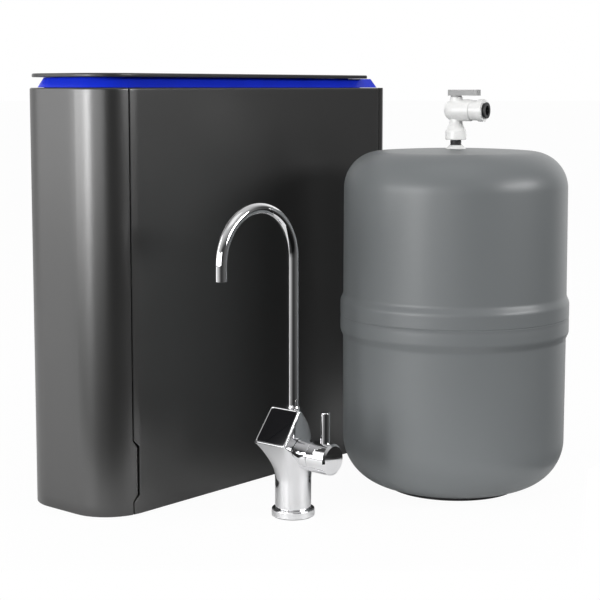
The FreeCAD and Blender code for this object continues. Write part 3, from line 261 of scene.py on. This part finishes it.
FINISHES = {
    "graphite": Finish("graphite", (0.016, 0.0158, 0.0155), 0.30, ior=1.85)
    .mottle(5, 0.02)
    .uneven(500, 0.012)
    .grain(1800, 0.000012),
    "graphite_lid": Finish("graphite_lid", (0.028, 0.028, 0.03), 0.3)
    .mottle(5, 0.02)
    .uneven(500, 0.012)
    .grain(1800, 0.000012),
    "blue": Finish("blue", (0.007, 0.028, 0.63), 0.40, ior=1.38)
    .mottle(30, 0.08)
    .uneven(50, 0.03)
    .grain(600, 0.00001),
    "black_plastic": Finish("black_plastic", (0.012, 0.012, 0.013), 0.5)
    .mottle(60, 0.15)
    .uneven(90, 0.06)
    .grain(1200, 0.00003),
    "white_plastic": Finish("white_plastic", (0.86, 0.86, 0.85), 0.28)
    .mottle(70, 0.02)
    .uneven(80, 0.04)
    .grain(700, 0.00001),
    "grey_plastic": Finish("grey_plastic", (0.33, 0.33, 0.33), 0.45)
    .mottle(90, 0.05)
    .uneven(90, 0.05)
    .grain(1400, 0.00003),
    "natural_plastic": Finish("natural_plastic", (0.72, 0.74, 0.76), 0.35)
    .mottle(70, 0.04)
    .uneven(80, 0.05)
    .grain(900, 0.00001),
    "filter_media": Finish("filter_media", (0.72, 0.71, 0.66), 0.85)
    .mottle(300, 0.15)
    .uneven(90, 0.08)
    .grain(2500, 0.0001),
    "rubber": Finish("rubber", (0.02, 0.02, 0.02), 0.75)
    .mottle(200, 0.2)
    .uneven(200, 0.08)
    .grain(2500, 0.00004),
    "tank_paint": Finish("tank_paint", (0.164, 0.175, 0.180), 0.38, ior=1.45)
    .mottle(7, 0.03)
    .uneven(260, 0.015)
    .grain(900, 0.00002),
    "steel": Finish("steel", (0.60, 0.60, 0.61), 0.28, metallic=1.0)
    .mottle(120, 0.06)
    .uneven(200, 0.06)
    .grain(900, 0.00001),
    "chrome": Finish("chrome", (0.86, 0.86, 0.87), 0.045, metallic=1.0)
    .mottle(50, 0.015)
    .uneven(60, 0.012),
    "glass": Finish("glass", (0.006, 0.006, 0.007), 0.06, coat=1.0, coat_roughness=0.02)
    .mottle(40, 0.1)
    .uneven(40, 0.01),
    "circuit": Finish("circuit", (0.01, 0.12, 0.05), 0.4)
    .mottle(200, 0.3)
    .uneven(150, 0.08)
    .grain(900, 0.00002),
    "ceramic": Finish("ceramic", (0.80, 0.78, 0.72), 0.35)
    .mottle(80, 0.05)
    .uneven(80, 0.04)
    .grain(900, 0.00001),
    "floor": Finish("floor", (0.93, 0.93, 0.93), 0.6)
    .mottle(3, 0.01)
    .uneven(5, 0.02),
}
NODE_SLOTS = {entry["node"]: entry["material_slot"] for entry in frame["record"]["subparts"]}


def paint(obj, finish):
    """Gives an object one finish in place of whatever it had."""
    obj.data.materials.clear()
    obj.data.materials.append(FINISHES[finish].material)


for node_name, node in nodes.items():
    paint(node, NODE_SLOTS[node_name])

# ---------------------------------------------------------------- mesh building


def mesh_piece(name, points, faces, body, finish, replaced, crease=32.0):
    """A mesh in the row frame's metres that rides on a CAD body and replaces CAD nodes."""
    mesh = bpy.data.meshes.new(name)
    mesh.from_pydata([tuple(p) for p in points], [], faces)
    work = bmesh.new()
    work.from_mesh(mesh)
    bmesh.ops.remove_doubles(work, verts=work.verts, dist=1e-7)
    bmesh.ops.dissolve_degenerate(work, edges=work.edges, dist=1e-8)
    bmesh.ops.recalc_face_normals(work, faces=work.faces)
    work.to_mesh(mesh)
    work.free()
    mesh.shade_smooth()
    mesh.set_sharp_from_angle(angle=math.radians(crease))
    piece = bpy.data.objects.new(name, mesh)
    bpy.context.scene.collection.objects.link(piece)
    paint(piece, finish)
    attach(piece, body)
    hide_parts(*replaced)


def softened(profile, radii, steps=5):
    """A profile with its corners rounded. radii gives one radius for each point, 0 for a sharp one."""
    count = len(profile)
    made = []
    for i, (spot, radius) in enumerate(zip(profile, radii)):
        if not radius:
            made.append(spot)
            continue
        corner = Vector(spot)
        before = Vector(profile[(i - 1) % count]) - corner
        after = Vector(profile[(i + 1) % count]) - corner
        half = before.angle(after) / 2
        reach = radius / math.tan(half)
        reach = min(reach, 0.49 * before.length, 0.49 * after.length)
        first = corner + before.normalized() * reach
        last = corner + after.normalized() * reach
        for k in range(steps + 1):
            t = k / steps
            made.append(tuple(first * (1 - t) ** 2 + corner * (2 * t * (1 - t)) + last * t**2))
    return made


def grid_faces(rows, columns, wrap_rows=False, wrap_columns=False):
    """Quads between the points of a grid that is stored row by row."""
    faces = []
    for i in range(rows if wrap_rows else rows - 1):
        for j in range(columns if wrap_columns else columns - 1):
            a, b = i * columns + j, i * columns + (j + 1) % columns
            c, d = (i + 1) % rows * columns + (j + 1) % columns, (i + 1) % rows * columns + j
            faces.append((a, b, c, d))
    return faces


def lathe(profile, centre, sides, frame_of=None):
    """Points and faces of a closed profile of (radius, height) turned about frame_of's Z."""
    points = []
    turn = frame_of or Matrix.Identity(3)
    for j in range(sides):
        angle = 2 * math.pi * j / sides
        for r, z in profile:
            spot = Vector((r * math.cos(angle), r * math.sin(angle), z))
            points.append(Vector(centre) + turn @ spot)
    return points, grid_faces(sides, len(profile), wrap_rows=True, wrap_columns=True)


def joined(*parts):
    """Several (points, faces) as one."""
    points, faces = [], []
    for more_points, more_faces in parts:
        shift = len(points)
        points.extend(more_points)
        faces.extend(tuple(i + shift for i in face) for face in more_faces)
    return points, faces


# turns a lathe's axis from Z to X
ALONG_X = Matrix(((0, 0, 1), (1, 0, 0), (0, 1, 0)))

# ---------------------------------------------------------------- cabinet panels

FRONT_RADIUS = 44 * MM
SHELL, LIP = 2.5 * MM, 8.2 * MM
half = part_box("rear_panel")[1].x
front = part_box("front_cover")[0].y
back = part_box("rear_panel")[1].y
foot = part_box("front_cover")[0].z
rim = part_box("front_cover")[1].z
SEAM, SEAM_GAP = 34.5 * MM, 1.0 * MM
front_seam = front + SEAM
rear_seam = back - 12.5 * MM
TAB_LOW, TAB_HIGH, TAB_SLOPE = 14 * MM, 73.5 * MM, 7 * MM
TAB_REACH, TAB_GAP = 5 * MM, 2.6 * MM

flat_run = half - FRONT_RADIUS
corner_run = FRONT_RADIUS * math.pi / 2


def plan_point(s, inset=0.0):
    """The plan's outline at a distance s round from the front's centre, positive towards +X."""
    side, s = (1 if s >= 0 else -1), abs(s)
    if s < flat_run:
        spot, out = Vector((s, front, 0)), Vector((0, -1, 0))
    elif s < flat_run + corner_run:
        angle = (s - flat_run) / FRONT_RADIUS - math.pi / 2
        out = Vector((math.cos(angle), math.sin(angle), 0))
        spot = Vector((flat_run, front + FRONT_RADIUS, 0)) + out * FRONT_RADIUS
    else:
        past = s - flat_run - corner_run
        spot, out = Vector((half, front + FRONT_RADIUS + past, 0)), Vector((1, 0, 0))
    spot = spot - out * inset
    return Vector((side * spot.x, spot.y, 0))


def run_to(y):
    """How far round the outline reaches a given y on its front corner or its side."""
    down = (y - front - FRONT_RADIUS) / FRONT_RADIUS
    if down < 0:
        return flat_run + FRONT_RADIUS * (math.asin(down) + math.pi / 2)
    return flat_run + corner_run + y - front - FRONT_RADIUS


def tab_reach(z, spread, reach):
    """How far the finger tab's outline stands back from the front seam at height z."""
    low, high = TAB_LOW - spread, TAB_HIGH + spread
    return reach * max(0.0, min(1.0, (z - low) / TAB_SLOPE, (high - z) / TAB_SLOPE))


def wall_section():
    """(outer, inner) pairs of (inset, height) up the wall and over its lip."""
    ease = 0.6 * MM
    round_top = 1.8 * MM
    pairs = [
        ((ease, foot), (SHELL, foot)),
        ((ease * 0.3, foot + ease * 0.3), (SHELL, foot + ease * 0.3)),
    ]
    levels = [foot + ease]
    for centre in (TAB_LOW, TAB_LOW + TAB_SLOPE, TAB_HIGH - TAB_SLOPE, TAB_HIGH):
        levels += [centre - 1 * MM, centre, centre + 1 * MM]
    levels += [TAB_HIGH + (rim - SHELL - TAB_HIGH) * k / 8 for k in range(1, 8)] + [rim - SHELL]
    pairs += [((0, z), (SHELL, z)) for z in sorted(levels)]
    for k in range(7):
        a = math.pi / 2 * k / 6
        outer = (round_top * (1 - math.cos(a)), rim - round_top * (1 - math.sin(a)))
        pairs.append((outer, (SHELL + 0.01 * MM * (k + 1), rim - SHELL)))
    pairs += [
        ((LIP - ease, rim), (LIP - ease, rim - SHELL)),
        ((LIP - ease * 0.3, rim - ease * 0.3), (LIP - ease * 0.3, rim - SHELL)),
        ((LIP, rim - ease), (LIP, rim - SHELL)),
    ]
    return pairs


# (distance from a panel's end, drop of its surface): the end's rounded edge
EASES = ((0.9 * MM, 0.0), (0.45 * MM, 0.06 * MM), (0.15 * MM, 0.22 * MM), (0.0, 0.5 * MM))


def wall_panel(name, start, end, body):
    """A panel of the wall. start(z) and end(z) give how far round it runs at each height."""
    pairs = wall_section()
    margin, corner_step, flat_step = 1.2 * MM, 1.6 * MM, 9 * MM
    inner_start = max(start(z) for (_, z), _ in pairs) + margin
    inner_end = min(end(z) for (_, z), _ in pairs) - margin
    middle = [inner_start]
    while middle[-1] < inner_end:
        run = abs(middle[-1])
        on_corner = flat_run - 2 * MM < run < flat_run + corner_run + 2 * MM
        middle.append(middle[-1] + (corner_step if on_corner else flat_step))
    middle[-1] = inner_end
    columns = [("start", t, e) for t, e in reversed(EASES)]
    columns += [("run", s, 0) for s in middle]
    columns += [("end", t, e) for t, e in EASES]
    points = []
    for kind, at, ease in columns:
        for layer in (0, 1):
            for pair in pairs:
                inset, z = pair[layer]
                level = pair[0][1]
                s = {"start": start(level) + at, "run": at, "end": end(level) - at}[kind]
                spot = plan_point(s, inset + (ease if layer == 0 and inset < SHELL else 0))
                drop = ease if layer == 0 and inset >= SHELL else 0
                points.append(Vector((spot.x, spot.y, z - drop)))
    count = len(pairs)
    stride = 2 * count
    faces = []
    for i in range(len(columns) - 1):
        for j in range(count - 1):
            a, b = i * stride + j, (i + 1) * stride + j
            faces.append((a, b, b + 1, a + 1))
            faces.append((a + count, a + count + 1, b + count + 1, b + count))
        for j in (0, count - 1):
            a, b = i * stride + j, (i + 1) * stride + j
            faces.append((a, a + count, b + count, b))
    for i in (0, len(columns) - 1):
        for j in range(count - 1):
            a = i * stride + j
            faces.append((a, a + 1, a + count + 1, a + count))
    mesh_piece(name, points, faces, body, "graphite", (name.replace("_visual", ""),))


def make_panels():
    """The front cover and both side panels, with the finger tab in the seams between them."""
    wall_panel(
        "front_cover_visual",
        lambda z: -run_to(front_seam + tab_reach(z, 0, TAB_REACH)),
        lambda z: run_to(front_seam + tab_reach(z, 0, TAB_REACH)),
        "front_cover",
    )

    def panel_start(z):
        return run_to(front_seam + max(SEAM_GAP, tab_reach(z, SEAM_GAP, TAB_REACH + TAB_GAP)))

    panel_end = run_to(rear_seam - SEAM_GAP / 2)
    wall_panel("side_panel_right_visual", panel_start, lambda z: panel_end, "cabinet")
    wall_panel("side_panel_left_visual", lambda z: -panel_end, lambda z: -panel_start(z), "cabinet")


# ---------------------------------------------------------------- lid


def plan_loop(inset, rear, rear_radius):
    """The lid's outline at an inset, closed, with its rear edge at y = rear."""
    loop, steps = [], 18
    side, radius = half - inset, FRONT_RADIUS - inset
    for k in range(steps + 1):
        a = -math.pi / 2 + math.pi / 2 * k / steps
        x, y = side - radius, front + inset + radius
        loop.append((x + radius * math.cos(a), y + radius * math.sin(a)))
    for k in range(steps + 1):
        a = math.pi / 2 * k / steps
        x, y = side - rear_radius, rear - rear_radius
        loop.append((x + rear_radius * math.cos(a), y + rear_radius * math.sin(a)))
    return loop + [(-x, y) for x, y in reversed(loop)]


LID_ROUND, LID_CORNER = 1.5, 5  # the top edge's and the rear corners' radii, in mm
LID_THICK, LID_INSET, LID_REAR = 3.6 * MM, 2.2 * MM, 184.5 * MM
HINGE_Y, HINGE_Z = 188 * MM, 414.6 * MM
KNUCKLE_STARTS, KNUCKLE_WIDE = (-33.6 * MM, 19.6 * MM), 14 * MM


def make_lid():
    """The thin lid with its two hinge knuckles, each on an arm from the plate's rear edge."""
    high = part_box("lid")[1]
    plate_low, inset, rear = high.z - LID_THICK, LID_INSET, LID_REAR
    rings = [(1.0, 0.0), (0.35, 0.12), (0.08, 0.4), (0.0, 0.9)]
    rings = [(extra, plate_low + rise * MM) for extra, rise in rings]
    for k in range(7):
        a = math.pi / 2 * k / 6
        rings.append((LID_ROUND * (1 - math.cos(a)), high.z - LID_ROUND * MM * (1 - math.sin(a))))
    points, loops = [], []
    for extra, z in rings:
        corner = (LID_CORNER - min(extra, 3)) * MM
        loop = plan_loop(inset + extra * MM, rear - extra * MM, corner)
        loops.append(range(len(points), len(points) + len(loop)))
        points += [Vector((x, y, z)) for x, y in loop]
    size = len(loops[0])
    faces = grid_faces(len(rings), size, wrap_columns=True)
    faces.append(tuple(reversed(loops[0])))
    faces.append(tuple(loops[-1]))
    parts = [(points, faces)]
    bore, knuckle_radius, wide = 1.26 * MM, 2.7 * MM, KNUCKLE_WIDE
    arm_root, arm_tip = rear - 9 * MM, HINGE_Y - 1.4 * MM
    arm_low, arm_high = HINGE_Z - 0.4 * MM, HINGE_Z + 2.3 * MM
    arm = [
        (arm_root, arm_low),
        (arm_tip, arm_low),
        (arm_tip, arm_high),
        (rear - 1 * MM, arm_high),
        (rear - 1 * MM, plate_low + 0.3 * MM),
        (arm_root, plate_low + 0.3 * MM),
    ]
    count = len(arm)
    for x in KNUCKLE_STARTS:
        knuckle = [(bore, 0), (knuckle_radius, 0), (knuckle_radius, wide), (bore, wide)]
        knuckle = softened(knuckle, [0, 0.4 * MM, 0.4 * MM, 0])
        parts.append(lathe(knuckle, (x, HINGE_Y, HINGE_Z), 40, frame_of=ALONG_X))
        arm_points = [Vector((x + side, y, z)) for side in (0, wide) for y, z in arm]
        arm_faces = grid_faces(2, count, wrap_columns=True)
        arm_faces += [tuple(range(count)), tuple(range(2 * count - 1, count - 1, -1))]
        parts.append((arm_points, arm_faces))
    mesh_piece("lid_visual", *joined(*parts), "lid", "graphite_lid", ("lid",))


# ---------------------------------------------------------------- tank


def ease_step(t):
    """A smooth step from 0 to 1."""
    t = max(0.0, min(1.0, t))
    return t * t * (3 - 2 * t)


TANK_SEAM = 178.3  # the weld's height in mm
BAND_OUT = 2.8  # how far the band stands out, in mm
# where the band starts and how tall its slope is, below and above, in mm
BAND_LOW, BAND_LOW_SLOPE = 155.0, 9.0
BAND_HIGH, BAND_HIGH_SLOPE = 191.5, 9.5


def tank_radius(z, radius):
    """The tank's side at height z in mm: near straight, with a band that stands out at the weld."""
    rise = ease_step((z - BAND_LOW) / BAND_LOW_SLOPE)
    rise *= 1 - ease_step((z - BAND_HIGH) / BAND_HIGH_SLOPE)
    taper = 0.4 * max(0.0, z - 200) / 100
    low_taper = 0.3 * max(0.0, 150 - z) / 100
    return radius - taper - low_taper + BAND_OUT * rise


def make_tank():
    """The tank's two shells, which meet at the weld in the middle of the band."""
    low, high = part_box("tank_lower_shell")
    centre = ((low.x + high.x) / 2, (low.y + high.y) / 2, 0)
    band = (high.x - low.x) / 2 / MM
    radius = band - BAND_OUT
    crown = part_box("tank_upper_shell")[1].z / MM
    shoulder, corner = 37.0, 48.0
    top, base = crown - 2.4, low.z / MM
    sides, crease = 256, 40

    side = list(range(192, 203)) + [215, 230, 245, 260, 275, 290, 300]
    outline = [
        (band - 3, TANK_SEAM),
        (band - 0.35, TANK_SEAM),
        (band - 0.1, TANK_SEAM + 0.35),
        (band, TANK_SEAM + 0.9),
    ]
    outline += [(tank_radius(z, radius), z) for z in [180, 184, 188, 191] + side]
    wide = tank_radius(top - shoulder, radius)
    steps = 28
    for k in range(steps + 1):
        a = math.pi / 2 * k / steps
        outline.append((wide - shoulder * (1 - math.cos(a)), top - shoulder * (1 - math.sin(a))))
    inner = wide - shoulder
    for k in range(1, 14):
        r = inner * (1 - k / 14)
        if r > 6.5:
            outline.append((r, top + (crown - top) * (1 - (r / inner) ** 2)))
    outline += [(5.7, crown - 0.03), (5.7, crown - 2.4)]
    outline += [(inner, top - 2.4), (wide - 3.2, top - shoulder - 2)]
    shape = [(r * MM, z * MM) for r, z in outline]
    shell = lathe(shape, centre, sides)
    mesh_piece("tank_upper_visual", *shell, "tank", "tank_paint", ("tank_upper_shell",), crease)

    outline = [
        (band - 3, TANK_SEAM - 0.02),
        (band - 0.35, TANK_SEAM - 0.02),
        (band - 0.06, TANK_SEAM - 0.5),
        (band - 0.25, TANK_SEAM - 1.3),
    ]
    side = [174, 170, 166] + list(range(165, 153, -1)) + [145, 130, 115, 100, 85, 70, 60]
    outline += [(tank_radius(z, radius), z) for z in side]
    wide = tank_radius(base + corner, radius)
    for k in range(steps + 1):
        a = math.pi / 2 * k / steps
        outline.append((wide - corner * (1 - math.cos(a)), base + corner * (1 - math.sin(a))))
    outline += [(48.4, base), (47.6, base + 0.4), (36.6, 19.4), (35.6, 20)]
    outline += [(4.2, 20), (4.2, 22.4), (37, 22.4)]
    outline += [(50, 7), (wide - corner, 7), (wide - 16, 20)]
    outline += [(wide - 3.2, base + corner + 2), (band - 3.2, TANK_SEAM - 2)]
    shape = [(r * MM, z * MM) for r, z in outline]
    shell = lathe(shape, centre, sides)
    mesh_piece("tank_lower_visual", *shell, "tank", "tank_paint", ("tank_lower_shell",), crease)


# ---------------------------------------------------------------- faucet

ring_low, ring_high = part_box("faucet_base_ring")
FAUCET = Vector(((ring_low.x + ring_high.x) / 2, (ring_low.y + ring_high.y) / 2, 0))
# the body's side view in mm from the column's axis, front towards -y
COLUMN = 17.3
NECK_Z, NAPE_Z = 36.0, 72.0
CHIN = (-34.6, 74.0)
BROW = (-11.0, 106.0)
LEVER_Z = 61.5
BROW_ROUND = 3.0
BOSS_RADIUS, BOSS_FROM, BOSS_LONG = 14.4, 8.0, 18.9


def circle_through(a, b, c):
    """Centre and radius of the circle through three points of a side view."""
    ax, ay, bx, by, cx, cy = *a, *b, *c
    d = 2 * (ax * (by - cy) + bx * (cy - ay) + cx * (ay - by))
    aa, bb, cc = ax * ax + ay * ay, bx * bx + by * by, cx * cx + cy * cy
    ux = (aa * (by - cy) + bb * (cy - ay) + cc * (ay - by)) / d
    uy = (aa * (cx - bx) + bb * (ax - cx) + cc * (bx - ax)) / d
    return ux, uy, math.hypot(ax - ux, ay - uy)


THROAT = circle_through((-COLUMN, NECK_Z), (-23.5, 57.5), CHIN)
NAPE = circle_through(BROW, (8.6, 95.4), (COLUMN, NAPE_Z))


def circle_y(circle, z):
    """Where the rear half of a circle of the side view is at height z."""
    centre_y, centre_z, radius = circle
    return centre_y + math.sqrt(max(0.0, radius**2 - (z - centre_z) ** 2))


def head_section(z):
    """Front, middle and back in y, half width, and the front's and back's squareness at height z."""
    share = max(0.0, min(1.0, (z - NECK_Z) / (CHIN[1] - NECK_Z)))
    above = max(0.0, z - CHIN[1])
    slope = (BROW[0] - CHIN[0]) / (BROW[1] - CHIN[1])
    if z <= NECK_Z:
        face = -COLUMN
    elif z <= CHIN[1]:
        face = circle_y(THROAT, z)
    else:
        face = CHIN[0] + above * slope
    back = COLUMN if z <= NAPE_Z else min(COLUMN, circle_y(NAPE, z))
    back = max(back, face + 0.2)
    lip = min(3.2, 0.4 * (back - face))
    middle = (face + lip) * (share**2.5)
    half = COLUMN + 1.7 * share**1.5 - 1.2 * above / (BROW[1] - CHIN[1])
    to_brow = (BROW[1] - z) * math.hypot(1, slope)
    if to_brow < BROW_ROUND:
        half -= BROW_ROUND - math.sqrt(BROW_ROUND**2 - (BROW_ROUND - to_brow) ** 2)
    front_power = 2 / (2 + 8 * share**2.8)
    back_power = 2 / (2 + share - 0.8 * min(1.0, above / 26))
    return face, middle, back, half, front_power, back_power


def bezel_bead():
    """The rounded rim round the display's glass."""
    up = Vector((0, BROW[0] - CHIN[0], BROW[1] - CHIN[1]))
    tall = up.length
    up.normalize()
    out = Vector((0, -up.z, up.y))
    centre = Vector((0, (BROW[0] + CHIN[0]) / 2, (BROW[1] + CHIN[1]) / 2))
    high, low_half, high_half, corner = tall / 2 - 1.35, 17.75, 16.35, 3.3
    corners = [(-low_half, -high), (low_half, -high), (high_half, high), (-high_half, high)]
    path = softened(corners, [corner] * 4, 10)
    count, around = len(path), 12
    points = []
    for i, spot in enumerate(path):
        ahead, behind = path[(i + 1) % count], path[i - 1]
        run = Vector((ahead[0] - behind[0], ahead[1] - behind[1])).normalized()
        side = Vector((run.y, -run.x))
        for k in range(around):
            a = 2 * math.pi * k / around
            across, rise = 0.85 * math.cos(a), 0.62 * math.sin(a) - 0.05
            x, y = spot[0] + side.x * across, spot[1] + side.y * across
            points.append(FAUCET + (centre + Vector((x, 0, 0)) + up * y + out * rise) * MM)
    return points, grid_faces(count, around, wrap_rows=True, wrap_columns=True)


def make_faucet_body():
    """The column that widens into the tilted display head, with the lever's boss on its side."""
    sides = 128
    levels = [7.85, 8.15, 8.6] + [12 + 4 * k for k in range(6)]
    levels += [NECK_Z - 2 + 1.25 * k for k in range(31)] + [73.3, 73.8, 74.0, 74.3, 74.9]
    levels += [76 + 1.5 * k for k in range(18)] + [102.6, 103.6, 104.4, 105.0, 105.5, 105.85]
    points = []
    for z in sorted(levels):
        face, middle, back, half, front_power, back_power = head_section(z)
        ease = {7.85: 0.4, 8.15: 0.12}.get(z, 0.0)
        for i in range(sides):
            a = 2 * math.pi * i / sides
            c, s = math.cos(a), math.sin(a)
            depth, power = (back - middle, back_power) if s > 0 else (middle - face, front_power)
            x = math.copysign(abs(c) ** power, c) * (half - ease)
            y = middle + math.copysign(abs(s) ** power, s) * (depth - ease)
            points.append(FAUCET + Vector((x, y, z)) * MM)
    rows = len(levels)
    faces = grid_faces(rows, sides, wrap_columns=True)
    faces.append(tuple(range(sides - 1, -1, -1)))
    faces.append(tuple(range((rows - 1) * sides, rows * sides)))
    boss = softened(
        [(0.01, 0.0), (BOSS_RADIUS, 0.0), (BOSS_RADIUS, BOSS_LONG), (0.01, BOSS_LONG)],
        [0, 0.3, 0.7, 0],
    )
    boss = [(r * MM, z * MM) for r, z in boss]
    boss_at = FAUCET + Vector((BOSS_FROM, 0.5, LEVER_Z)) * MM
    boss_mesh = lathe(boss, boss_at, 96, frame_of=ALONG_X)
    whole = joined((points, faces), boss_mesh, bezel_bead())
    mesh_piece("faucet_body_visual", *whole, "faucet", "chrome", ("faucet_body",), 38)


make_panels()
make_lid()
make_tank()
make_faucet_body()

# ---------------------------------------------------------------- floor


def whiten(finish):
    """Lifts a stage surface towards white, so that it reads as a lit studio sweep."""
    tree = FINISHES[finish].tree
    glow = tree.nodes.new("ShaderNodeEmission")
    glow.inputs["Color"].default_value = (1, 1, 1, 1)
    glow.inputs["Strength"].default_value = 1.0
    rays = tree.nodes.new("ShaderNodeLightPath")
    share = tree.nodes.new("ShaderNodeMath")
    share.operation = "MULTIPLY"
    share.inputs[1].default_value = WHITENING
    tree.links.new(rays.outputs["Is Camera Ray"], share.inputs[0])
    mix = tree.nodes.new("ShaderNodeMixShader")
    tree.links.new(share.outputs[0], mix.inputs[0])
    tree.links.new(FINISHES[finish].shader.outputs[0], mix.inputs[1])
    tree.links.new(glow.outputs[0], mix.inputs[2])
    out = next(n for n in tree.nodes if n.type == "OUTPUT_MATERIAL")
    tree.links.new(mix.outputs[0], out.inputs["Surface"])


# corners in metres across and towards the viewer
FLOOR_OUTLINE = (
    (-2.4, 0.34), (0.33, 0.34), (0.40, 0.0),
    (0.8, -0.6), (14.0, -60.0), (-24.0, -60.0),
)
FLOOR_DROP = 0.0002
WHITENING = 0.96  # the share of white in what the viewer sees of the floor


def make_floor():
    """A pale floor that runs far back and ends near the object in front and at the right."""
    mesh = bpy.data.meshes.new("floor")
    turn = math.radians(CAMERA_AZIMUTH)
    ahead = Vector((math.sin(turn), -math.cos(turn), 0))
    across = Vector((math.cos(turn), math.sin(turn), 0))
    rim = [across * side + ahead * forward for side, forward in FLOOR_OUTLINE]
    mesh.from_pydata([tuple(p) for p in rim], [], [tuple(range(len(rim)))])
    floor = bpy.data.objects.new("floor", mesh)
    bpy.context.scene.collection.objects.link(floor)
    floor.location.z = cad_low.z - FLOOR_DROP
    paint(floor, "floor")
    whiten("floor")


make_floor()
